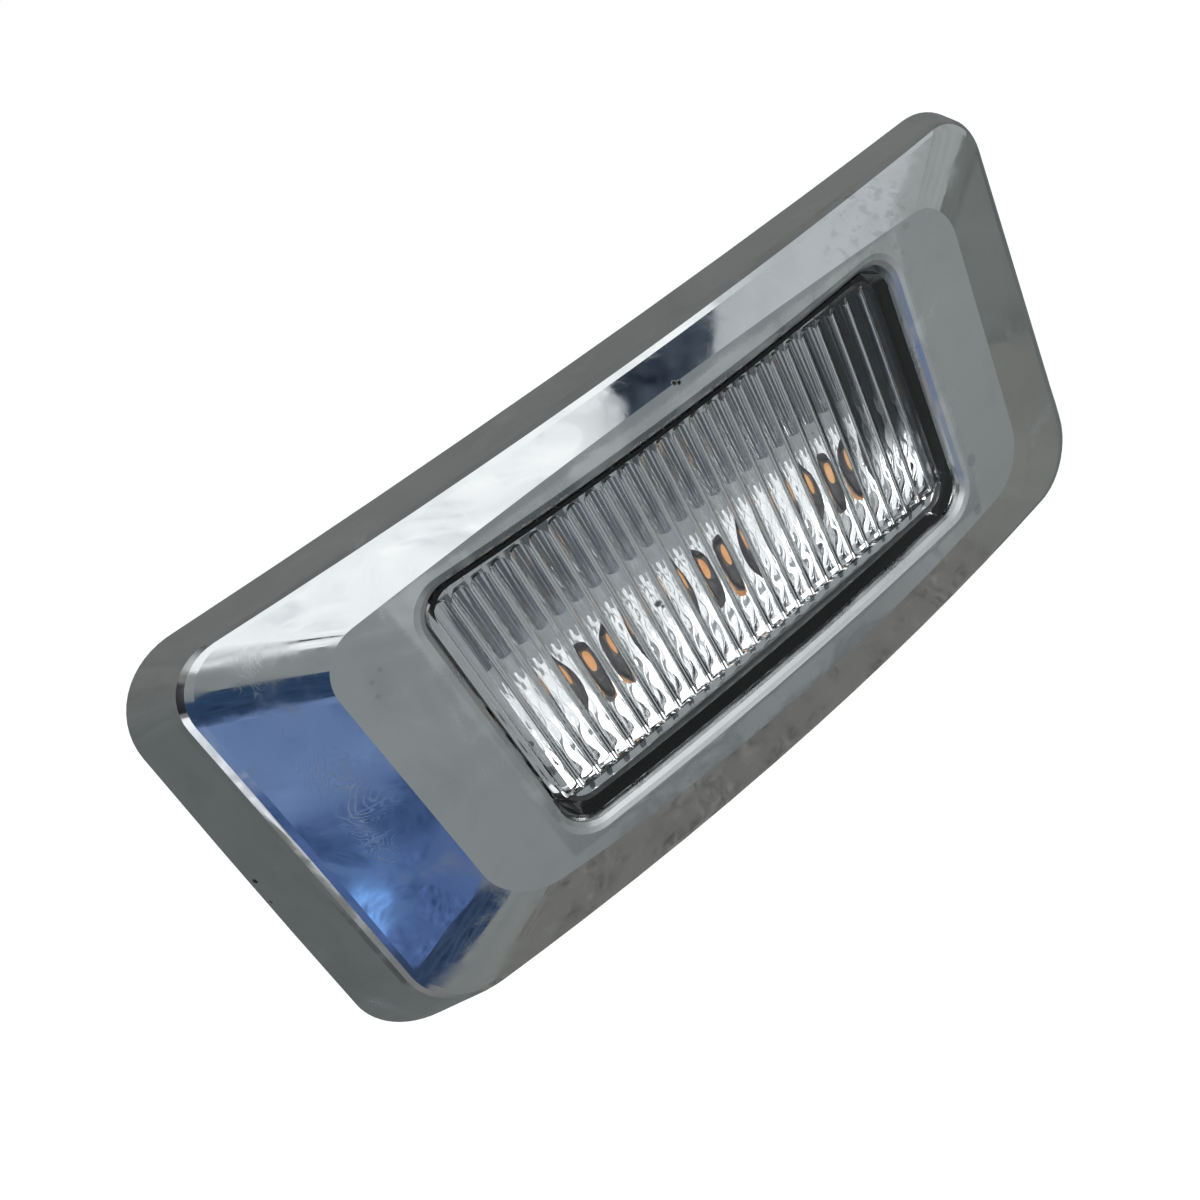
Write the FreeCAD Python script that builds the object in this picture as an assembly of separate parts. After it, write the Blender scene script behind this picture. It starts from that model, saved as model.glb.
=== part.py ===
import FreeCAD, Part
import math
import os

V = FreeCAD.Vector
os.makedirs("parts", exist_ok=True)

# Side marker lamp, upright as on the car. X runs along the length, Z is up and the face
# looks along -Y. The origin is on the panel surface, on the axis of the lens window.
# A "depth" below is the distance out from the panel, so a point has Y = -depth.

# Lens window, which the rest is built around: half length and half height at its corners,
# outward bow of its edges and setback of its rounded corners
window_x = 27.0
window_z = 14.1
window_edge = dict(bow_up=-0.6, bow_down=0.3, bow_side=0.0, cut_up=3.2, cut_down=3.2)

# Borders of the bezel, each measured outwards from the loop before it: flat face, slope, rim
face_border = dict(top=8.8, bot=9.0, up=1.2, down=1.9,
                   bow_up=1.1, bow_down=2.3, bow_side=0.0, cut_up=4.2, cut_down=5.2)
slope_border = dict(top=9.8, bot=11.8, up=4.8, down=8.5,
                    bow_up=-0.6, bow_down=1.7, bow_side=0.0, cut_up=5.0, cut_down=6.8)
rim_border = dict(top=4.9, bot=6.5, up=0.7, down=3.7,
                  bow_up=-1.0, bow_down=1.4, bow_side=0.2, cut_up=7.4, cut_down=8.0)

# Depths of the bezel
crown_r = 500.0
plateau_depth = 11.8
slope_drop = 3.2
rim_depth = 0.6

# Bezel shell
wall = 2.0
ridge_round = 1.2
lip_round = 1.0
lip_flare = 0.4
collar_wall = 1.6
round_steps = 3

# Clearances
fit_gap = 0.3
lens_gap = 0.3
plate_gap = 0.4
pocket_gap = 0.5
tip_gap = 0.5

# How far a cut runs past the face that it opens
over = 1.0

# Lens: smooth outside, upright flutes on the inside
lens_recess = 1.0
lens_thick = 1.8
lens_wall = 0.8
flange_reach = 2.4
flange_thick = 1.6
flute_pitch = 2.0
flute_rise = 0.55
flute_top_step = 0.8
flute_bottom_step = 1.8
seal_thick = 0.6
seal_width = 1.4

# Rear housing: the tub is a little longer and lower than the window
tub_longer = 0.4
tub_lower = 0.8
tub_corner = 3.0
tub_wall = 1.8
tub_deep = 12.2
tub_floor = 2.0
plate_back_depth = 2.2
plate_thick = 1.8
gasket_inset = 0.4
gasket_width = 4.0
gasket_gap = 0.5
rest_in = 3.0
rest_wide = 3.0
rest_low = 1.0
rest_high = 4.0

# Light source
board_gap = 0.6
board_thick = 1.6
board_front_depth = 0.2
led_pitch = 15.6
led_z = -5.4
led_long = 3.5
led_wide = 2.8
led_high = 0.8
dome_r = 1.3
dome_high = 0.5

# Reflector
light_hole_r = 3.1
tray_depth = 3.6
rim_gap = 0.4
reflector_rim_depth = 7.3
reflector_wall = 0.7
ramp_deep_depth = 1.7
ramp_light_depth = 3.0
ramp_top_depth = 8.2
shelf_down = 1.4
shelf_low_depth = 2.3
shelf_top_depth = 4.2
pin_pocket_depth = 0.9

# Screws
screw_r = 1.2
screw_head_r = 2.4
screw_head = 1.2
screw_grip = 3.0
post_half = 2.8
boss_r = 3.0
screw_room = 1.0
bezel_screw_up = 7.0
bezel_screw_down = -12.0
board_screw_in = 4.9
board_screw_below = 4.5

# Connector on the back
socket_x = 12.0
socket_z = 8.0
socket_wall = 1.5
socket_deep = 12.0
pin_pitch = 5.0
pin_wide = 1.5
pin_thick = 0.8
pin_tip = 4.6
pin_stub = 0.3

# Holding features, for a panel this thick
panel_thick = 1.2
hook_reach = 3.6
hook_tip = 1.2
hook_root = 4.5
hook_wide = 14.0
clip_thick = 0.6
clip_wide = 12.0
clip_seat = 2.4
clip_fold = 9.4
clip_fold_out = 1.5
clip_knee = 4.8
clip_knee_out = 3.4
clip_toe_out = 1.9

# Vent on the back, measured in from the end of the tub
vent_in = 8.4
vent_r = 4.0
vent_hole_r = 1.2
vent_thick = 0.6

# Small parts on the back of the board: side and distance in from its end, and size
row_z = 3.0
resistor = dict(long=3.2, wide=1.6, high=0.6)
diode = dict(long=4.6, wide=2.7, high=2.1)
capacitor = dict(long=2.0, wide=1.3, high=0.9)
small_parts = [("resistor_1", -1, 10.8, resistor),
               ("resistor_2", -1, 15.8, resistor),
               ("resistor_3", 1, 15.8, resistor),
               ("diode", 1, 9.8, diode),
               ("capacitor", -1, 5.8, capacitor)]


def at(x, depth, z):
    return V(x, -depth, z)


def outside(size, border):
    """A loop that lies outside another by the widths of a border."""
    out = dict(border)
    out["top"] += size["top"]
    out["bot"] += size["bot"]
    out["up"] += size["up"]
    out["down"] = size["down"] - border["down"]
    return out


def inset(size, t):
    """The same loop pulled in by t on every side."""
    out = dict(size)
    out["top"] -= t
    out["bot"] -= t
    out["up"] -= t
    out["down"] += t
    out["cut_up"] = max(size["cut_up"] - 0.6 * t, 1.0)
    out["cut_down"] = max(size["cut_down"] - 0.6 * t, 1.0)
    return out


def loop_points(size, side_steps=3, corner_steps=3):
    """Eight runs of (x, z) points: top, corner, right, corner, bottom, corner, left, corner."""
    tl = V(-size["top"], 0, size["up"])
    tr = V(size["top"], 0, size["up"])
    br = V(size["bot"], 0, size["down"])
    bl = V(-size["bot"], 0, size["down"])
    cu, cd = size["cut_up"], size["cut_down"]
    sides = [(tl, tr, V(0, 0, size["bow_up"]), cu, cu),
             (tr, br, V(size["bow_side"], 0, 0), cu, cd),
             (br, bl, V(0, 0, -size["bow_down"]), cd, cd),
             (bl, tl, V(-size["bow_side"], 0, 0), cd, cu)]

    def on_side(side, t):
        a, b, bow, c1, c2 = side
        return a + (b - a) * t + bow * (4 * t * (1 - t))

    runs = []
    ends = []
    for side in sides:
        a, b, bow, c1, c2 = side
        length = (b - a).Length
        t1 = c1 / length
        t2 = 1 - c2 / length
        run = []
        for i in range(side_steps + 1):
            run.append(on_side(side, t1 + (t2 - t1) * i / side_steps))
        ends.append((run[0], (b - a) + bow * (4 * (1 - 2 * t1)),
                     run[-1], (b - a) + bow * (4 * (1 - 2 * t2))))
        runs.append(run)
    out = []
    for i in range(4):
        out.append(runs[i])
        p0, d0 = ends[i][2], ends[i][3]
        p3, d3 = ends[(i + 1) % 4][0], ends[(i + 1) % 4][1]
        reach = 0.5523 * (sides[i][4] + sides[(i + 1) % 4][3]) / 2
        p1 = p0 + d0 * (reach / d0.Length)
        p2 = p3 - d3 * (reach / d3.Length)
        corner = []
        for k in range(corner_steps + 1):
            t = k / corner_steps
            u = 1 - t
            corner.append(p0 * u ** 3 + p1 * (3 * u * u * t) + p2 * (3 * u * t * t) + p3 * t ** 3)
        out.append(corner)
    return out


def set_depth(runs, depth):
    """Puts flat loop points at a depth, given as a number or as a function of x."""
    out = []
    for run in runs:
        line = []
        for p in run:
            d = depth(p.x) if callable(depth) else depth
            line.append(at(p.x, d, p.z))
        out.append(line)
    return out


def curve(points):
    """One smooth edge through the points."""
    smooth = Part.BezierCurve()
    smooth.interpolate([[p] for p in points])
    return smooth.toShape()


def edges_of(runs):
    return [curve(run) for run in runs]


def loft(loops):
    """A solid of straight-ruled faces between loops; the first and last loops are flat."""
    rings = [edges_of(runs) for runs in loops]
    faces = []
    for lower, upper in zip(rings, rings[1:]):
        for a, b in zip(lower, upper):
            faces.append(Part.makeRuledSurface(a, b))
    faces.append(Part.Face(Part.Wire(rings[0])))
    faces.append(Part.Face(Part.Wire(rings[-1])))
    shell = Part.makeShell(faces)
    shell.sewShape()
    solid = Part.Solid(shell)
    if solid.Volume < 0:
        solid.reverse()
    return solid


def flat_edge(points):
    """A line where the points are in a row, and an arc through them where they aren't."""
    first, inner, last = points[0], points[1], points[-1]
    if inner.distanceToLine(first, last - first) < 0.001:
        return Part.makeLine(first, last)
    return Part.Arc(first, inner, last).toShape()


def prism(size, low, high):
    """A straight block with the loop as its outline, between two depths."""
    runs = set_depth(loop_points(size), low)
    face = Part.Face(Part.Wire([flat_edge(run) for run in runs]))
    return face.extrude(at(0, high - low, 0))


def box(x1, x2, low, high, z1, z2):
    """A plain block between two x values, two depths and two heights."""
    return Part.makeBox(x2 - x1, high - low, z2 - z1, V(x1, -high, z1))


def post(half_x, half_z, x, z, low, high):
    """A plain block round an axis along the depth."""
    return box(x - half_x, x + half_x, low, high, z - half_z, z + half_z)


def rod(r, x, z, low, high):
    """A round block along the depth."""
    return Part.makeCylinder(r, high - low, at(x, low, z), V(0, -1, 0))


def crown(depth):
    """The inside of the crowned face that reaches this depth in the middle."""
    tall = 4 * window_x
    return Part.makeCylinder(crown_r, tall, V(0, crown_r - depth, -tall / 2), V(0, 0, 1))


def crowned(depth):
    """Depth of a crowned line as a function of x."""
    return lambda x: depth - (crown_r - math.sqrt(crown_r ** 2 - x * x))


def beyond(lower, upper, depth):
    """Carries straight lines from one loop through another on to a flat depth."""
    out = []
    for run_a, run_b in zip(lower, upper):
        line = []
        for a, b in zip(run_a, run_b):
            k = (-depth - a.y) / (b.y - a.y)
            line.append(a + (b - a) * k)
        out.append(line)
    return out


def save(shape, name):
    shape = shape.removeSplitter() if len(shape.Solids) == 1 else shape
    shape.exportStep("parts/" + name + ".step")


def rounded(lower, corner, upper, reach):
    """Loops that round a corner loop between the loops below and above it."""
    rings = []
    for k in range(round_steps + 1):
        t = k / round_steps
        u = 1 - t
        ring = []
        for run_a, run_c, run_b in zip(lower, corner, upper):
            line = []
            for a, c, b in zip(run_a, run_c, run_b):
                p0 = c + (a - c) * (reach / (a - c).Length)
                p2 = c + (b - c) * (reach / (b - c).Length)
                line.append(p0 * (u * u) + c * (2 * u * t) + p2 * (t * t))
            ring.append(line)
        rings.append(ring)
    return rings


# Loops of the face, from the window out to the foot of the rim
window = dict(window_edge, top=window_x, bot=window_x, up=window_z, down=-window_z)
plateau = outside(window, face_border)
ridge = outside(plateau, slope_border)
base = outside(ridge, rim_border)
ridge_depth = plateau_depth - slope_drop


def bezel_skin(t):
    """The outer form of the bezel, or with t the hollow that leaves a wall of t."""
    low = rim_depth if t == 0 else rim_depth - wall / 2
    foot = set_depth(loop_points(inset(base, t)), low)
    edge = set_depth(loop_points(inset(ridge, t)), crowned(ridge_depth - t))
    flat = set_depth(loop_points(inset(plateau, 0.6 * t)), crowned(plateau_depth - t))
    middle = rounded(foot, edge, flat, ridge_round) if t == 0 else [edge]
    body = loft([foot] + middle + [beyond(edge, flat, plateau_depth + slope_drop / 2)])
    return body.common(crown(plateau_depth - t))


def window_tool():
    """The opening for the lens, flared at the front into a rolled lip."""
    loops = [set_depth(loop_points(window), 0.0)]
    for k in range(round_steps + 1):
        a = math.pi / 2 * k / round_steps
        out = lip_round * (1 - math.cos(a))
        loops.append(set_depth(loop_points(inset(window, -out)),
                               crowned(plateau_depth - lip_round + lip_round * math.sin(a))))
    loops.append(set_depth(loop_points(inset(window, -lip_round - lip_flare)), plateau_depth + lip_round))
    return loft(loops)


# Depths that follow from the stack: plate, lens flange, seal, collar
plate_front = plate_back_depth + plate_thick
flange_front = plate_front + flange_thick
collar_end_depth = flange_front + seal_thick
lens_front = plateau_depth - lens_recess
lens_back = lens_front - lens_thick
board_back = board_front_depth - board_thick
tub_back_depth = plate_back_depth - tub_deep
shell_back_depth = tub_back_depth - tub_floor
socket_back = shell_back_depth - socket_deep

# Loops that follow from the window and the bezel's hollow
lens_size = inset(window, lens_gap)
lens_hollow = inset(lens_size, lens_wall)
plate_size = inset(ridge, wall + plate_gap)
tub_in = dict(top=window_x + tub_longer, bot=window_x + tub_longer, up=window_z - tub_lower,
              down=tub_lower - window_z, bow_up=0.0, bow_down=0.0, bow_side=0.0,
              cut_up=tub_corner, cut_down=tub_corner)
tub_out = inset(tub_in, -tub_wall)
gasket_out = inset(plate_size, gasket_inset)
gasket_in = dict(inset(gasket_out, gasket_width), up=tub_out["up"] + gasket_gap, bow_up=0.0)
board_size = inset(tub_in, board_gap)

# Places of the screws and pins
bezel_screw_x = gasket_in["top"] - screw_head_r - screw_room
bezel_screws = []
for screw_z in (bezel_screw_up, bezel_screw_down):
    bezel_screws += [(-bezel_screw_x, screw_z), (bezel_screw_x, screw_z)]
board_screw_x = tub_in["top"] - board_screw_in
board_screw_z = tub_in["up"] - board_screw_below
board_screws = [(-board_screw_x, board_screw_z), (board_screw_x, board_screw_z)]
pin_places = (-pin_pitch / 2, pin_pitch / 2)

# Chrome bezel
bezel = bezel_skin(0)
bezel = bezel.cut(bezel_skin(wall))
collar = prism(inset(window, -collar_wall), collar_end_depth, plateau_depth)
bezel = bezel.fuse(collar.common(crown(plateau_depth - wall / 2)))
for x, z in bezel_screws:
    boss = post(post_half, post_half, x, z, plate_front, plateau_depth)
    bezel = bezel.fuse(boss.common(bezel_skin(wall / 2)))
bezel = bezel.cut(window_tool())
for x, z in bezel_screws:
    bezel = bezel.cut(rod(screw_r + fit_gap, x, z, 0, plate_front + screw_grip))
save(bezel, "chrome_bezel")

# Lens: a cup with a crowned front, a flange behind the collar and round-topped flutes inside
lens = prism(lens_size, plate_front, plateau_depth).common(crown(lens_front))
lens = lens.fuse(prism(inset(window, -flange_reach), plate_front, flange_front))
lens = lens.cut(prism(lens_hollow, plate_front - over, plateau_depth).common(crown(lens_back)))
flute_up = lens_hollow["up"] - flute_top_step
flute_down = lens_hollow["down"] + flute_bottom_step
flute_half = flute_pitch / 2
flute_r = (flute_half ** 2 + flute_rise ** 2) / (2 * flute_rise)
flute_count = round(2 * lens_hollow["top"] / flute_pitch)
for i in range(flute_count):
    x = flute_pitch * (i + 0.5 - flute_count / 2)
    root = crowned(lens_back)(abs(x) + flute_half)
    low = root - flute_rise
    high = root + lens_thick / 2
    rib = Part.makeCylinder(flute_r, flute_up - flute_down, at(x, low + flute_r, flute_down), V(0, 0, 1))
    slab = box(x - flute_half, x + flute_half, low, high, flute_down, flute_up - flute_half)
    slab = slab.fuse(rod(flute_half, x, flute_up - flute_half, low, high))
    lens = lens.fuse(rib.common(slab))
save(lens, "lens")

# Seal between the lens flange and the collar
seal = prism(inset(window, -collar_wall), flange_front, collar_end_depth)
seal = seal.cut(prism(inset(window, seal_width - collar_wall), flange_front - over, collar_end_depth + over))
save(seal, "lens_seal")

# Rear housing: tub, mounting plate, hook and connector shroud
housing = prism(tub_out, shell_back_depth, plate_front)
housing = housing.fuse(prism(plate_size, plate_back_depth, plate_front))
housing = housing.cut(prism(tub_in, tub_back_depth, plate_front + over))
for x, z in board_screws:
    housing = housing.fuse(rod(boss_r, x, z, shell_back_depth + tub_floor / 2, board_back))
for side in (-1, 1):
    x = side * (tub_in["top"] - rest_in)
    low_z = tub_in["down"] + rest_low
    housing = housing.fuse(box(x - rest_wide / 2, x + rest_wide / 2, shell_back_depth + tub_floor / 2,
                               board_back, low_z, low_z + rest_high))
shroud = post(socket_x / 2 + socket_wall, socket_z / 2 + socket_wall, 0, 0, socket_back, shell_back_depth)
shroud = shroud.cut(post(socket_x / 2, socket_z / 2, 0, 0, socket_back, shell_back_depth))
housing = housing.fuse(shroud)
hook_root_x = tub_wall / 2 - tub_out["top"]
hook_tip_x = -tub_out["top"] - hook_reach
hook_y = panel_thick + fit_gap
hook_path = [(hook_root_x, hook_y), (hook_tip_x, hook_y), (hook_tip_x, hook_y + hook_tip),
             (hook_root_x, hook_y + hook_root)]
ring = [V(x, y, -hook_wide / 2) for x, y in hook_path]
housing = housing.fuse(Part.Face(Part.makePolygon(ring + ring[:1])).extrude(V(0, 0, hook_wide)))
for x, z in bezel_screws:
    housing = housing.cut(rod(screw_r + fit_gap, x, z, 0, plate_front + over))
for x, z in board_screws:
    housing = housing.cut(rod(screw_r + fit_gap, x, z, board_back - screw_grip, board_back + over))
for x in pin_places:
    housing = housing.cut(post(pin_wide / 2, pin_thick / 2, x, 0,
                               shell_back_depth - over, tub_back_depth + over))
vent_x = tub_in["top"] - vent_in
housing = housing.cut(rod(vent_hole_r, vent_x, 0, shell_back_depth - over, tub_back_depth + over))
save(housing, "rear_housing")

# Vent membrane on the back wall
save(rod(vent_r, vent_x, 0, shell_back_depth - vent_thick, shell_back_depth), "vent_membrane")

# Foam gasket between the mounting plate and the panel
gasket = prism(gasket_out, 0, plate_back_depth)
gasket = gasket.cut(prism(gasket_in, -over, plate_back_depth + over))
save(gasket, "panel_gasket")

# Screws that hold the bezel to the plate, from the back
screws = []
for x, z in bezel_screws:
    head = rod(screw_head_r, x, z, plate_back_depth - screw_head, plate_back_depth)
    shank = rod(screw_r, x, z, plate_back_depth - screw_head / 2, plate_front + screw_grip - tip_gap)
    screws.append(head.fuse(shank))
save(Part.makeCompound(screws), "bezel_screws")

# Steel spring clip on the end across from the hook
clip_x = tub_out["top"]
clip_toe = panel_thick + fit_gap
clip_path = [(0, clip_seat), (clip_thick, clip_seat), (clip_thick, clip_fold), (clip_fold_out, clip_fold),
             (clip_knee_out, clip_knee), (clip_toe_out, clip_toe), (clip_toe_out + clip_thick, clip_toe),
             (clip_knee_out + clip_thick, clip_knee), (clip_fold_out + clip_thick, clip_fold + clip_thick),
             (0, clip_fold + clip_thick)]
ring = [V(clip_x + x, y, -clip_wide / 2) for x, y in clip_path]
clip = Part.Face(Part.makePolygon(ring + ring[:1])).extrude(V(0, 0, clip_wide))
save(clip, "spring_clip")

# Light board with its light sources and the small parts on its back
board = prism(board_size, board_back, board_front_depth)
for x, z in board_screws:
    board = board.cut(rod(screw_r + fit_gap, x, z, board_back - over, board_front_depth + over))
for x in pin_places:
    board = board.cut(post(pin_wide / 2 + fit_gap, pin_thick / 2 + fit_gap, x, 0,
                           board_back - over, board_front_depth + over))
save(board, "led_board")

board_pair = []
for x, z in board_screws:
    head = rod(screw_head_r, x, z, board_front_depth, board_front_depth + screw_head)
    shank = rod(screw_r, x, z, board_back - screw_grip + tip_gap, board_front_depth + screw_head / 2)
    board_pair.append(head.fuse(shank))
save(Part.makeCompound(board_pair), "board_screws")

led_top = board_front_depth + led_high
led_places = (-led_pitch, 0, led_pitch)
for i, x in enumerate(led_places):
    body = post(led_long / 2, led_wide / 2, x, led_z, board_front_depth, led_top)
    save(body, "led_body_%d" % (i + 1))
    dome = Part.makeCone(dome_r, dome_r - dome_high / 2, dome_high, at(x, led_top, led_z), V(0, -1, 0))
    save(dome, "led_dome_%d" % (i + 1))

for name, side, from_end, size in small_parts:
    x = side * (board_size["top"] - from_end)
    save(post(size["long"] / 2, size["wide"] / 2, x, row_z, board_back - size["high"], board_back), name)

# Two blade pins from the board into the connector
for i, x in enumerate(pin_places):
    pin = post(pin_wide / 2, pin_thick / 2, x, 0, socket_back + pin_tip, board_front_depth + pin_stub)
    save(pin, "terminal_pin_%d" % (i + 1))

# Reflector: a plated tray inside the lens cup, with a ramp that climbs towards the lens below
# the lights, a sloped shelf above them and a hole for each light
cup_size = inset(lens_hollow, fit_gap)
tray = prism(inset(tub_in, pocket_gap), board_front_depth, tray_depth)
cup = prism(cup_size, board_front_depth, ramp_top_depth).common(crown(lens_back - rim_gap))
cup = cup.cut(box(-tub_in["top"], tub_in["top"], reflector_rim_depth, plateau_depth,
                  flute_down - rim_gap, tub_in["up"]))
tray = tray.fuse(cup)
front = plateau_depth
ramp_end_z = cup_size["down"] + reflector_wall
shelf_up = cup_size["up"] - reflector_wall
ramp_start = at(0, ramp_deep_depth, shelf_down)
ramp_end = at(0, ramp_top_depth, ramp_end_z)
shelf_start = at(0, shelf_low_depth, shelf_down)
shelf_end = at(0, shelf_top_depth, shelf_up)
front_low = at(0, front, ramp_end_z)
front_high = at(0, front, shelf_up)
profile = [Part.Arc(ramp_start, at(0, ramp_light_depth, led_z), ramp_end).toShape(),
           Part.makeLine(ramp_end, front_low),
           Part.makeLine(front_low, front_high),
           Part.makeLine(front_high, shelf_end),
           Part.makeLine(shelf_end, shelf_start),
           Part.makeLine(shelf_start, ramp_start)]
half_x = cup_size["top"] - reflector_wall
hollow = Part.Face(Part.Wire(profile)).extrude(V(2 * half_x, 0, 0))
hollow.translate(V(-half_x, 0, 0))
tray = tray.cut(hollow)
for x in led_places:
    tray = tray.cut(rod(light_hole_r, x, led_z, 0, plateau_depth))
for x, z in board_screws:
    tray = tray.cut(rod(screw_head_r + pocket_gap, x, z, 0, board_front_depth + screw_head + fit_gap))
for x in pin_places:
    tray = tray.cut(post(pin_wide / 2 + pocket_gap, pin_thick / 2 + pocket_gap, x, 0, 0, pin_pocket_depth))
save(tray, "reflector")
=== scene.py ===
import bpy
from mathutils import Matrix, Vector

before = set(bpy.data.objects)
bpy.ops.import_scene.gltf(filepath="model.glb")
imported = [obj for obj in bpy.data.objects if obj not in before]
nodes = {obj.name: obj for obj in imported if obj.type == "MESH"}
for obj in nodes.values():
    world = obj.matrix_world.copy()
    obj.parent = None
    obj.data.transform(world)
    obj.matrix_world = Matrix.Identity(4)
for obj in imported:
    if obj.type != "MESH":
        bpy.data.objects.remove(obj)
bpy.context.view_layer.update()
scene = bpy.context.scene
scene.view_settings.view_transform = "Standard"
white = (1.0, 1.0, 1.0, 1.0)


# Node helpers

def new_material(name):
    mat = bpy.data.materials.new(name)
    mat.use_nodes = True
    mat.node_tree.nodes.clear()
    return mat, mat.node_tree


def add(tree, kind, **values):
    node = tree.nodes.new(kind)
    for key, value in values.items():
        setattr(node, key, value)
    return node


def feed(tree, socket, value):
    """Links a socket, or sets a plain number or colour."""
    if isinstance(value, bpy.types.NodeSocket):
        tree.links.new(value, socket)
    else:
        socket.default_value = value


def put(tree, node, **values):
    for key, value in values.items():
        feed(tree, node.inputs[key.replace("_", " ")], value)


def output(tree, shader):
    out = add(tree, "ShaderNodeOutputMaterial")
    tree.links.new(shader, out.inputs["Surface"])


def object_place(tree):
    return add(tree, "ShaderNodeTexCoord").outputs["Object"]


def split(tree, vector):
    """The x, y and z of a vector."""
    node = add(tree, "ShaderNodeSeparateXYZ")
    put(tree, node, Vector=vector)
    return node.outputs["X"], node.outputs["Y"], node.outputs["Z"]


def stretch(tree, vector, scale, turn):
    """Coordinates turned and stretched."""
    node = add(tree, "ShaderNodeMapping")
    put(tree, node, Vector=vector, Scale=scale, Rotation=turn)
    return node.outputs["Vector"]


def noise(tree, vector, scale, detail=4.0, rough=0.5, distort=0.0):
    node = add(tree, "ShaderNodeTexNoise")
    put(tree, node, Vector=vector, Scale=scale, Detail=detail, Roughness=rough, Distortion=distort)
    return node.outputs["Fac"]


def ramp(tree, value, *stops):
    """Colours along a value; a stop is a position and a grey or a colour."""
    node = add(tree, "ShaderNodeValToRGB")
    points = node.color_ramp.elements
    while len(points) < len(stops):
        points.new(0.5)
    for point, (where, tone) in zip(points, stops):
        point.position = where
        point.color = (tone, tone, tone, 1.0) if isinstance(tone, float) else (*tone, 1.0)
    tree.links.new(value, node.inputs["Fac"])
    return node.outputs["Color"]


def calc(tree, kind, a, b=0.0):
    node = add(tree, "ShaderNodeMath", operation=kind)
    feed(tree, node.inputs[0], a)
    feed(tree, node.inputs[1], b)
    return node.outputs["Value"]


def times(tree, a, b):
    return calc(tree, "MULTIPLY", a, b)


def larger(tree, a, b):
    return calc(tree, "MAXIMUM", a, b)


def total(tree, first, *others):
    for other in others:
        first = calc(tree, "ADD", first, other)
    return first


def step(tree, value, start, end):
    """Goes smoothly from 0 at start to 1 at end."""
    node = add(tree, "ShaderNodeMapRange", interpolation_type="SMOOTHSTEP")
    put(tree, node, Value=value, From_Min=start, From_Max=end)
    return node.outputs["Result"]


def blend(tree, fac, a, b, kind="MIX"):
    node = add(tree, "ShaderNodeMix", data_type="RGBA", blend_type=kind)
    feed(tree, node.inputs["Factor"], fac)
    feed(tree, node.inputs[6], a)
    feed(tree, node.inputs[7], b)
    return node.outputs[2]


def contour(tree, value, count, width):
    """Thin lines along the level curves of a value."""
    part = calc(tree, "FRACT", times(tree, value, count))
    off = calc(tree, "ABSOLUTE", calc(tree, "SUBTRACT", part, 0.5))
    return step(tree, off, width, 0.0)


def spots(tree, vector, *marks):
    """A mask of small round marks, each x, depth out from the panel, z and radius in millimetres."""
    core = 0.5
    mask = 0.0
    for x, depth, z, radius in marks:
        far = add(tree, "ShaderNodeVectorMath", operation="DISTANCE")
        put(tree, far, Vector=vector)
        far.inputs[1].default_value = (x / 1000, -depth / 1000, z / 1000)
        one = step(tree, far.outputs["Value"], radius / 1000, core * radius / 1000)
        mask = larger(tree, mask, one)
    return mask


def bump(tree, height, distance):
    node = add(tree, "ShaderNodeBump")
    put(tree, node, Height=height, Distance=distance)
    return node.outputs["Normal"]


def principled(tree, **values):
    node = add(tree, "ShaderNodeBsdfPrincipled")
    put(tree, node, **values)
    output(tree, node.outputs["BSDF"])


def dress(mat, *names):
    for name in names:
        materials = nodes[name].data.materials
        materials.clear()
        materials.append(mat)


# Materials

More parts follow.
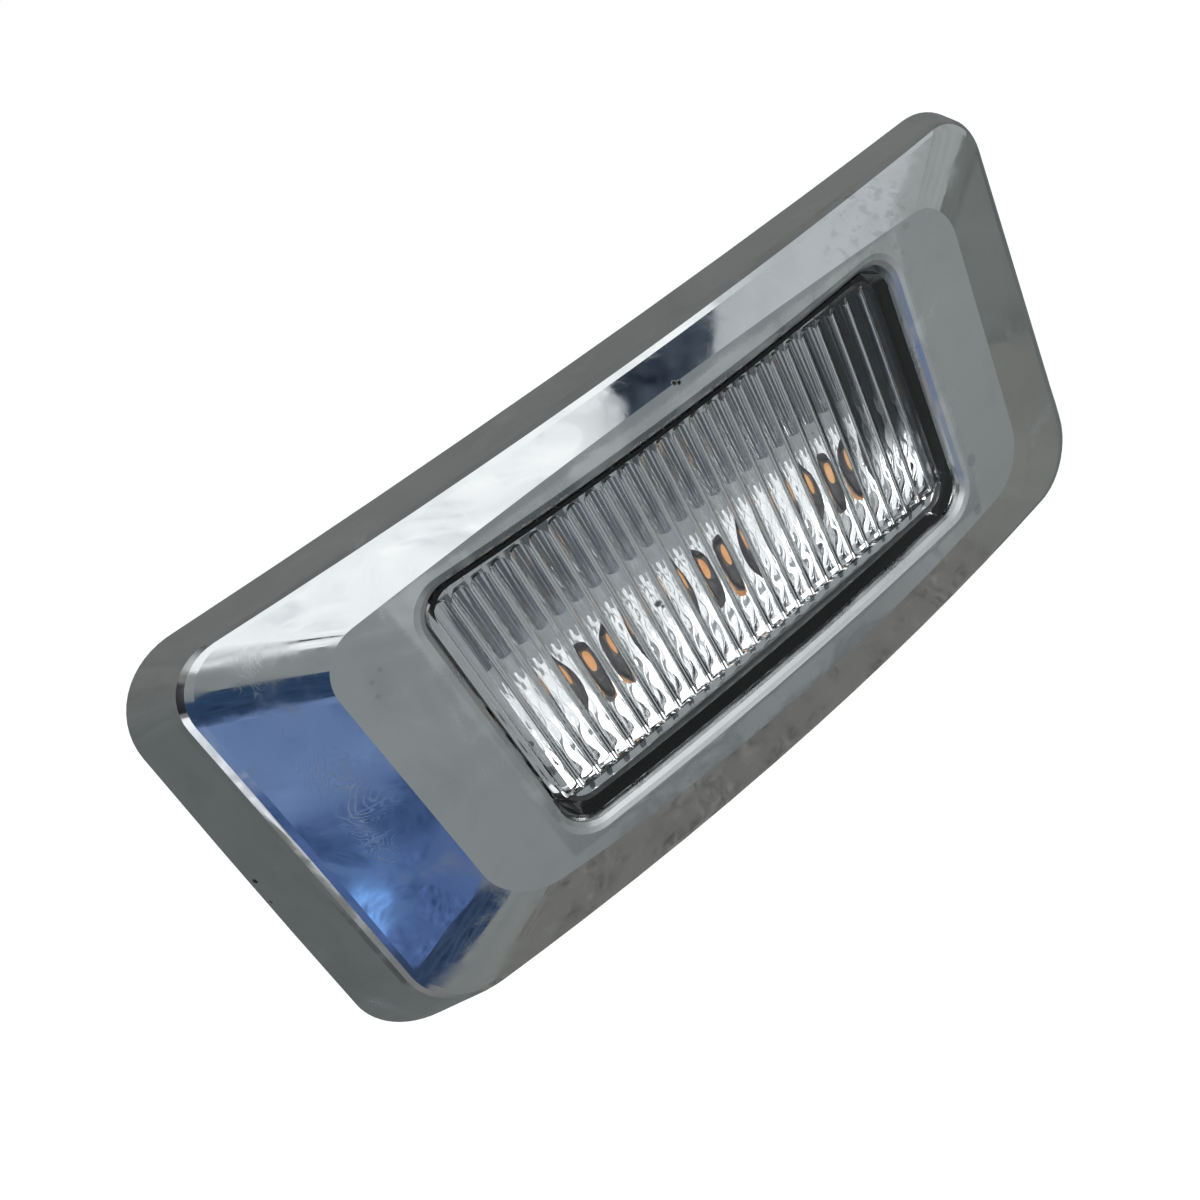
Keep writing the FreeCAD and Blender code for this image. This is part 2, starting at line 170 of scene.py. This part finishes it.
def chrome():
    """Chrome plate with smudges, swirl scratches, specks, a dusty lip and a slightly wavy skin."""
    mat, tree = new_material("chrome_plate")
    vec = object_place(tree)
    x, y, z = split(tree, vec)
    smudge = noise(tree, vec, scale=160.0, detail=6.0, rough=0.6, distort=0.6)
    plate = ramp(tree, smudge, (0.35, (0.61, 0.63, 0.635)), (0.75, (0.68, 0.70, 0.705)))

    # Scratches gather on the left slope, out from its ridge
    slope_x = (-0.036, -0.042)
    slope_y = (-0.0078, -0.0086)
    scratched_elsewhere = 0.1
    flow = noise(tree, vec, scale=130.0, detail=2.0, rough=0.4, distort=1.0)
    swirl = contour(tree, flow, count=34.0, width=0.22)
    wiped = stretch(tree, vec, scale=(90.0, 90.0, 1500.0), turn=(0.0, 0.7, 0.0))
    wipe = step(tree, noise(tree, wiped, scale=1.0, detail=3.0, rough=0.6), start=0.62, end=0.72)
    left_end = larger(tree, step(tree, x, *slope_x), scratched_elsewhere)
    on_slope = times(tree, left_end, step(tree, y, *slope_y))
    patches = step(tree, noise(tree, vec, scale=110.0, detail=3.0), start=0.34, end=0.60)
    scratch = times(tree, larger(tree, swirl, wipe), times(tree, patches, on_slope))

    # Dark specks, with fainter dull spots and grime
    smear = spots(tree, vec, (27.8, 9.5, 17.4, 6.0), (23.9, 10.7, 16.2, 4.0))
    grain = step(tree, noise(tree, vec, scale=900.0, detail=3.0), start=0.5, end=0.65)
    grime = times(tree, smear, grain)
    specks = spots(tree, vec, (16.2, 10.4, 16.8, 0.4), (1.4, 11.7, 16.4, 0.3), (1.8, 11.7, 16.2, 0.3),
                   (-48.1, 3.9, 7.8, 0.4), (-51.8, 1.1, -1.8, 0.4), (-52.4, 1.1, -4.6, 0.3))
    dull = spots(tree, vec, (29.0, 11.0, -10.3, 0.9), (27.8, 11.0, -15.9, 0.8),
                 (-33.0, 10.7, 10.9, 0.3), (-33.3, 10.7, 9.6, 0.3), (-31.9, 10.8, 11.4, 0.3))
    faint = 0.16
    dirt = larger(tree, specks, times(tree, larger(tree, dull, grime), faint))
    dirt_color = (0.03, 0.03, 0.03, 1.0)

    # Dust lies on the lip round the window, and more of it on the collar behind
    lip_x = (0.0290, 0.0282)
    lip_z = (0.0160, 0.0152)
    collar_y = (-0.0098, -0.0092)
    within_x = step(tree, calc(tree, "ABSOLUTE", x), *lip_x)
    within_z = step(tree, calc(tree, "ABSOLUTE", z), *lip_z)
    lip = times(tree, within_x, within_z)
    collar = times(tree, lip, step(tree, y, *collar_y))

    clean_rough = 0.03
    scratch_rough = 0.28
    dirt_rough = 0.4
    lip_rough = 0.22
    collar_rough = 0.40
    rough = total(tree, step(tree, smudge, start=0.35, end=1.3), times(tree, scratch, scratch_rough),
                  clean_rough, times(tree, dirt, dirt_rough), times(tree, lip, lip_rough),
                  times(tree, collar, collar_rough))
    skin = bump(tree, noise(tree, vec, scale=55.0, detail=1.0), distance=0.00008)
    principled(tree, Metallic=1.0, Base_Color=blend(tree, dirt, plate, dirt_color), Roughness=rough,
               Normal=skin)
    return mat


def clear():
    """Clear moulded plastic with a faint haze and one dark speck on its inner face."""
    mat, tree = new_material("clear_plastic")
    vec = object_place(tree)
    haze = noise(tree, vec, scale=220.0)
    haze_rough = 0.04
    tint = ramp(tree, haze, (0.3, (0.96, 0.97, 0.975)), (0.7, (0.99, 0.995, 0.995)))
    speck = spots(tree, vec, (-8.6, 8.5, -0.8, 0.5), (-8.3, 8.5, -1.3, 0.3))
    speck_color = (0.01, 0.01, 0.01, 1.0)
    principled(tree, Base_Color=blend(tree, speck, tint, speck_color), IOR=1.49, Transmission_Weight=1.0,
               Roughness=times(tree, step(tree, haze, start=0.4, end=0.9), haze_rough))
    return mat


def mirror():
    """Vacuum-plated moulding with pillow optics on the ramp and painted shade at its right end, where the
    base colour goes darker.
    """
    mat, tree = new_material("mirror_coat")
    vec = object_place(tree)
    x, _, z = split(tree, vec)
    film = noise(tree, vec, scale=300.0)
    plated = ramp(tree, film, (0.3, (0.82, 0.83, 0.84)), (0.7, (0.89, 0.90, 0.91)))

    # Pillows in radians a metre, below the top of the ramp
    pillow_across = 3000.0
    pillow_along = 1700.0
    ramp_top_z = (0.0012, -0.0012)
    across = calc(tree, "COSINE", times(tree, x, pillow_across))
    along = calc(tree, "COSINE", times(tree, z, pillow_along))
    pillow = times(tree, times(tree, across, along), step(tree, z, *ramp_top_z))

    # Painted shade: the base colour goes dark grey towards the right end, below the middle
    painted_shade_x = (0.0180, 0.0215)
    painted_shade_z = (-0.0085, -0.0035)
    painted_shade_color = (0.10, 0.105, 0.11, 1.0)
    dark = times(tree, step(tree, x, *painted_shade_x), step(tree, z, *painted_shade_z))
    principled(tree, Metallic=1.0, Base_Color=blend(tree, dark, plated, painted_shade_color),
               Roughness=ramp(tree, film, (0.3, 0.03), (0.8, 0.07)),
               Normal=bump(tree, pillow, distance=0.00004))
    return mat


def housing():
    """Black moulded plastic with a fine grain and painted light on the edge that faces the lens, a
    lighter grey that stands in for light reaching it through the lens.
    """
    mat, tree = new_material("housing_plastic")
    vec = object_place(tree)
    _, y, _ = split(tree, vec)
    wander = noise(tree, vec, scale=250.0)
    black = ramp(tree, wander, (0.3, (0.03, 0.03, 0.032)), (0.7, (0.055, 0.055, 0.058)))
    # Painted light: the edge that faces the lens gets a lighter grey, in place of light that reaches it
    # through the lens
    painted_edge_light = ramp(tree, wander, (0.3, (0.13, 0.14, 0.15)), (0.7, (0.20, 0.21, 0.22)))
    front_y = (-0.001, -0.004)
    grain = noise(tree, vec, scale=2000.0, detail=6.0)
    principled(tree, Base_Color=blend(tree, step(tree, y, *front_y), black, painted_edge_light),
               Roughness=ramp(tree, wander, (0.3, 0.38), (0.7, 0.52)),
               Normal=bump(tree, grain, distance=0.00004))
    return mat


def moulded(name, low, high, rough, scale, metallic=0.0, grain=0.0, glow_strength=0.0):
    """A material whose colour and sheen wander, with a fine grain in metres and perhaps a faint glow."""
    rough_swing = 0.15
    grain_finer = 8.0
    mat, tree = new_material(name)
    vec = object_place(tree)
    wander = noise(tree, vec, scale)
    color = ramp(tree, wander, (0.3, low), (0.7, high))
    sheen = ramp(tree, wander, (0.3, rough * (1 - rough_swing)), (0.7, rough * (1 + rough_swing)))
    values = dict(Base_Color=color, Metallic=metallic, Roughness=sheen)
    if grain:
        values["Normal"] = bump(tree, noise(tree, vec, scale * grain_finer, detail=6.0), grain)
    if glow_strength:
        values["Emission_Color"] = color
        values["Emission_Strength"] = glow_strength
    principled(tree, **values)
    return mat


dress(chrome(), "chrome_bezel")
dress(clear(), "lens")
dress(mirror(), "reflector")
dress(housing(), "rear_housing")
dress(moulded("seal_rubber", (0.085, 0.09, 0.095), (0.13, 0.135, 0.14), rough=0.45, scale=400.0,
              grain=0.00002),
      "lens_seal")
dress(moulded("gasket_foam", (0.02, 0.02, 0.022), (0.06, 0.06, 0.062), rough=0.85, scale=900.0,
              grain=0.0001),
      "panel_gasket")
dress(moulded("board_laminate", (0.15, 0.14, 0.15), (0.21, 0.20, 0.21), rough=0.4, scale=300.0),
      "led_board")
dress(moulded("led_package", (0.22, 0.205, 0.20), (0.32, 0.30, 0.29), rough=0.4, scale=500.0),
      "led_body_1", "led_body_2", "led_body_3")
# Painted glow: the amber domes shine faintly by their own emission
dress(moulded("amber_dome", (0.95, 0.42, 0.16), (1.0, 0.58, 0.27), rough=0.2, scale=500.0,
              glow_strength=0.35),
      "led_dome_1", "led_dome_2", "led_dome_3")
dress(moulded("chip_body", (0.015, 0.015, 0.017), (0.05, 0.05, 0.05), rough=0.5, scale=600.0),
      "resistor_1", "resistor_2", "resistor_3", "diode")
dress(moulded("chip_ceramic", (0.42, 0.32, 0.22), (0.58, 0.46, 0.34), rough=0.5, scale=500.0),
      "capacitor")
dress(moulded("pin_brass", (0.62, 0.55, 0.38), (0.78, 0.72, 0.55), rough=0.25, scale=500.0, metallic=1.0),
      "terminal_pin_1", "terminal_pin_2")
dress(moulded("screw_steel", (0.48, 0.48, 0.48), (0.66, 0.66, 0.65), rough=0.3, scale=500.0, metallic=1.0,
              grain=0.00002),
      "board_screws", "bezel_screws")
dress(moulded("clip_steel", (0.36, 0.36, 0.38), (0.54, 0.54, 0.56), rough=0.28, scale=400.0, metallic=1.0,
              grain=0.00002),
      "spring_clip")
dress(moulded("vent_film", (0.74, 0.74, 0.72), (0.86, 0.86, 0.84), rough=0.7, scale=700.0, grain=0.00004),
      "vent_membrane")


# Camera at the photograph's place

eye = Vector((-0.031947, -0.077915, 0.040385))
ahead = Vector((0.23024, 0.85149, -0.47113)).normalized()
upward = Vector((0.60553, 0.25363, 0.75433))
side = ahead.cross(upward).normalized()
above = side.cross(ahead)
camera = bpy.data.cameras.new("photo_camera")
camera.sensor_width = 36.0
camera.lens = 27.0
camera.shift_x = -0.0021
camera.shift_y = 0.0072
camera.clip_start = 0.001
camera_object = bpy.data.objects.new("photo_camera", camera)
camera_object.matrix_world = Matrix.Translation(eye) @ Matrix((side, above, -ahead)).transposed().to_4x4()
scene.collection.objects.link(camera_object)
scene.camera = camera_object


# Studio: white to the camera, with a grey tent and cards for the reflections

tent_radius = 4.0
layers = dict(back=3.0, right=2.95, pale=2.9, foot=2.6, edge=2.5, spot=2.4, front=2.2)


def white_to_view(tree):
    """1 for rays that should see the white background."""
    path = add(tree, "ShaderNodeLightPath")
    seen = larger(tree, path.outputs["Is Glossy Ray"], path.outputs["Is Transmission Ray"])
    return larger(tree, seen, path.outputs["Is Camera Ray"])


def stage(obj, only_reflected):
    """Marks a studio piece; one that is only reflected gives no diffuse light and no shadow."""
    obj.visible_camera = not only_reflected
    obj.visible_diffuse = not only_reflected
    obj.visible_shadow = not only_reflected


def sheet(name, points, faces, mat, only_reflected):
    mesh = bpy.data.meshes.new(name)
    mesh.from_pydata(points, [], faces)
    mesh.materials.append(mat)
    obj = bpy.data.objects.new(name, mesh)
    scene.collection.objects.link(obj)
    stage(obj, only_reflected)


def glow(name, color_of):
    """A material that shines with the colour that color_of builds."""
    mat, tree = new_material(name)
    shine = add(tree, "ShaderNodeEmission")
    put(tree, shine, Color=color_of(tree), Strength=1.0)
    output(tree, shine.outputs["Emission"])
    return mat


def towards(direction, distance):
    """A place in a direction given as right, up and out from the face."""
    right, up, out = direction
    return Vector((right, -out, up)).normalized() * distance


def card(name, near, far, low, high, layer="back", scale=3.0, distort=0.5):
    """A sheet between two rows of directions, whose colour wanders from the low to the high tone."""
    def mottle(tree):
        clouds = noise(tree, object_place(tree), scale, detail=8.0, rough=0.6, distort=distort)
        return ramp(tree, clouds, (0.35, low), (0.65, high))
    count = len(near)
    points = [towards(direction, layers[layer]) for direction in near + far]
    faces = [(i, i + 1, count + i + 1, count + i) for i in range(count - 1)]
    sheet(name, points, faces, glow(name, mottle), only_reflected=True)


def tent_tone(tree):
    """Grey surround: lighter ahead of the face, darker behind it and towards the ground there."""
    front_range = (-3.6, 0.4)
    height_range = (-1.2, 2.0)
    back_range = (-0.4, 0.5)
    vec = object_place(tree)
    _, back, up = split(tree, vec)
    front_tone = ramp(tree, step(tree, back, *front_range), (0.0, (0.33, 0.355, 0.36)),
                      (0.6, (0.30, 0.31, 0.305)), (1.0, (0.235, 0.235, 0.22)))
    back_tone = ramp(tree, step(tree, up, *height_range), (0.0, (0.16, 0.175, 0.175)),
                     (1.0, (0.215, 0.22, 0.215)))
    tone = blend(tree, step(tree, back, *back_range), front_tone, back_tone)
    clouds = noise(tree, vec, scale=1.2, detail=6.0, rough=0.6, distort=0.5)
    return blend(tree, 1.0, tone, ramp(tree, clouds, (0.3, 0.86), (0.7, 1.10)), "MULTIPLY")


bpy.ops.mesh.primitive_uv_sphere_add(segments=48, ring_count=24, radius=tent_radius)
tent = bpy.context.object
tent.name = "tent"
tent.data.materials.append(glow("tent", tent_tone))
stage(tent, only_reflected=True)

# White panel above the face, a dark gap in it and paler panels to its right
card("panel_white",
     [(-0.62, 0.22, 0.75), (-0.42, 0.33, 0.82), (-0.20, 0.55, 0.78), (0.05, 0.66, 0.66),
      (0.46, 0.66, 0.55)],
     [(-0.75, 0.65, 0.10), (-0.50, 0.85, -0.10), (-0.20, 0.97, -0.15), (0.05, 0.98, -0.15),
      (0.52, 0.86, -0.05)],
     (1.08, 1.11, 1.14), (1.50, 1.50, 1.50), scale=4.0, distort=1.5)
card("panel_gap",
     [(0.29, 0.90, 0.37), (0.42, 0.90, 0.17)],
     [(0.46, 0.82, 0.37), (0.55, 0.82, 0.16)],
     (0.012, 0.018, 0.035), (0.10, 0.13, 0.17), layer="front", scale=9.0, distort=1.5)
card("panel_pale",
     [(0.44, 0.66, 0.55), (0.50, 0.86, 0.10), (0.52, 0.85, -0.10)],
     [(0.72, 0.50, 0.48), (0.76, 0.62, 0.14), (0.78, 0.62, -0.10)],
     (0.60, 0.63, 0.65), (0.72, 0.75, 0.77), layer="pale")
card("panel_right",
     [(0.70, 0.52, 0.50), (0.78, 0.62, -0.10)],
     [(0.93, -0.05, 0.36), (0.99, -0.05, -0.10)],
     (0.38, 0.41, 0.40), (0.46, 0.49, 0.48), layer="right")
card("panel_right_low",
     [(0.92, -0.05, 0.36), (0.99, -0.05, -0.10)],
     [(0.86, -0.38, 0.34), (0.92, -0.38, -0.10)],
     (0.17, 0.18, 0.17), (0.23, 0.24, 0.23), layer="right")
card("hip_line",
     [(-0.62, 0.27, 0.72), (-0.46, 0.42, 0.78), (-0.30, 0.55, 0.78)],
     [(-0.62, 0.33, 0.70), (-0.46, 0.47, 0.765), (-0.30, 0.595, 0.765)],
     (0.02, 0.02, 0.03), (0.09, 0.08, 0.10), layer="front")

# White panel ahead and dark ground below, for the ramp and the shelf behind the lens
card("panel_front",
     [(-0.35, -0.16, 0.93), (0.25, -0.18, 0.94), (0.60, -0.16, 0.78)],
     [(-0.35, 0.50, 0.80), (0.25, 0.62, 0.74), (0.56, 0.52, 0.64)],
     (1.0, 1.02, 1.04), (1.20, 1.20, 1.20))
card("ground_dark",
     [(-0.30, -0.68, 0.66), (0.10, -0.65, 0.75), (0.40, -0.61, 0.68), (0.70, -0.55, 0.50),
      (0.85, -0.55, 0.30)],
     [(-0.30, -0.86, 0.42), (0.10, -0.86, 0.48), (0.40, -0.80, 0.45), (0.70, -0.70, 0.32),
      (0.85, -0.62, 0.20)],
     (0.03, 0.036, 0.045), (0.10, 0.115, 0.13))
card("ground_brown",
     [(-0.30, -0.95, 0.30), (0.15, -0.93, 0.33), (0.60, -0.78, 0.25)],
     [(-0.30, -0.95, -0.35), (0.15, -0.95, -0.35), (0.60, -0.80, -0.30)],
     (0.12, 0.12, 0.11), (0.30, 0.295, 0.28), scale=12.0, distort=2.0)

# Blue cards at the left: a dark, a pale and a deep fold, with a bright spot and a dark foot
card("fold_navy",
     [(-0.95, 0.02, 0.50), (-0.58, -0.03, 0.82)],
     [(-0.95, -0.26, 0.42), (-0.58, -0.31, 0.75)],
     (0.018, 0.04, 0.09), (0.05, 0.10, 0.20), scale=16.0)
card("fold_pale",
     [(-0.95, -0.24, 0.42), (-0.58, -0.31, 0.75)],
     [(-0.95, -0.36, 0.40), (-0.56, -0.50, 0.66)],
     (0.14, 0.225, 0.45), (0.23, 0.34, 0.62), scale=5.0)
card("fold_deep",
     [(-0.95, -0.36, 0.40), (-0.56, -0.50, 0.66)],
     [(-0.90, -0.62, 0.30), (-0.50, -0.68, 0.50)],
     (0.025, 0.06, 0.17), (0.18, 0.29, 0.66), scale=30.0, distort=2.0)
card("fold_edge",
     [(-0.95, -0.37, 0.40), (-0.56, -0.51, 0.66)],
     [(-0.95, -0.41, 0.38), (-0.56, -0.555, 0.62)],
     (0.03, 0.07, 0.17), (0.10, 0.17, 0.38), layer="edge", scale=20.0, distort=1.5)
card("fold_bright",
     [(-0.69, -0.52, 0.54), (-0.70, -0.53, 0.48)],
     [(-0.645, -0.545, 0.54), (-0.65, -0.56, 0.48)],
     (0.26, 0.55, 1.20), (0.42, 0.80, 1.6), layer="spot", scale=9.0)
card("fold_foot",
     [(-0.90, -0.54, 0.30), (-0.60, -0.61, 0.52), (-0.50, -0.64, 0.55)],
     [(-0.80, -0.74, 0.22), (-0.52, -0.76, 0.42), (-0.38, -0.79, 0.47)],
     (0.02, 0.04, 0.09), (0.08, 0.12, 0.22), layer="foot", scale=9.0, distort=1.5)

# Narrow strips that draw the bright and dark lines along the ridges
card("strip_white",
     [(-0.90, -0.10, 0.44), (-0.86, -0.34, 0.38), (-0.80, -0.52, 0.26)],
     [(-0.97, -0.10, 0.08), (-0.92, -0.34, 0.16), (-0.81, -0.52, 0.23)],
     (1.2, 1.25, 1.35), (1.5, 1.5, 1.5), layer="front")
card("strip_dark",
     [(-0.88, 0.44, 0.34), (-0.97, 0.0, 0.30), (-0.985, -0.10, 0.08), (-0.87, -0.48, 0.12),
      (-0.72, -0.68, 0.16)],
     [(-0.92, 0.42, -0.12), (-0.99, 0.0, -0.06), (-0.985, -0.10, -0.05), (-0.87, -0.48, -0.02),
      (-0.72, -0.68, 0.04)],
     (0.015, 0.015, 0.02), (0.05, 0.05, 0.06), layer="front")
card("strip_top",
     [(-0.45, 0.86, -0.26), (0.05, 0.96, -0.28), (0.60, 0.76, -0.26)],
     [(-0.45, 0.84, -0.36), (0.05, 0.93, -0.38), (0.60, 0.74, -0.36)],
     (0.04, 0.04, 0.045), (0.12, 0.12, 0.125))


# Pale floor far below, the surround and one soft lamp

floor_z = -4.2
floor_half = 40.0
floor_glow = 0.40
surround_tone = (0.80, 0.81, 0.82, 1.0)
lamp_size = 0.6
lamp_power = 3.0
lamp_place = Vector((-0.25, -0.6, 0.6))


def floor_material():
    """Pale floor that shines a little to the view, so that it reads as white."""
    mat, tree = new_material("floor_pale")
    pale = add(tree, "ShaderNodeBsdfDiffuse")
    grain = noise(tree, object_place(tree), scale=2.0)
    put(tree, pale, Color=ramp(tree, grain, (0.3, 0.78), (0.7, 0.82)))
    shine = add(tree, "ShaderNodeEmission")
    put(tree, shine, Color=white, Strength=times(tree, white_to_view(tree), floor_glow))
    both = add(tree, "ShaderNodeAddShader")
    tree.links.new(pale.outputs["BSDF"], both.inputs[0])
    tree.links.new(shine.outputs["Emission"], both.inputs[1])
    output(tree, both.outputs["Shader"])
    return mat


corners = [(-floor_half, -floor_half, floor_z), (floor_half, -floor_half, floor_z),
           (floor_half, floor_half, floor_z), (-floor_half, floor_half, floor_z)]
sheet("floor", corners, [(0, 1, 2, 3)], floor_material(), only_reflected=False)

world = bpy.data.worlds.new("surround")
scene.world = world
world.use_nodes = True
world_tree = world.node_tree
world_tree.nodes.clear()
sky = add(world_tree, "ShaderNodeBackground")
sky_color = blend(world_tree, white_to_view(world_tree), surround_tone, white)
put(world_tree, sky, Color=sky_color, Strength=1.0)
world_out = add(world_tree, "ShaderNodeOutputWorld")
world_tree.links.new(sky.outputs["Background"], world_out.inputs["Surface"])

lamp = bpy.data.lights.new("key", "AREA")
lamp.size = lamp_size
lamp.energy = lamp_power
lamp_object = bpy.data.objects.new("key", lamp)
lamp_object.location = lamp_place
lamp_object.rotation_euler = (-lamp_place).to_track_quat("-Z", "Y").to_euler()
lamp_object.visible_glossy = False
lamp_object.visible_camera = False
scene.collection.objects.link(lamp_object)
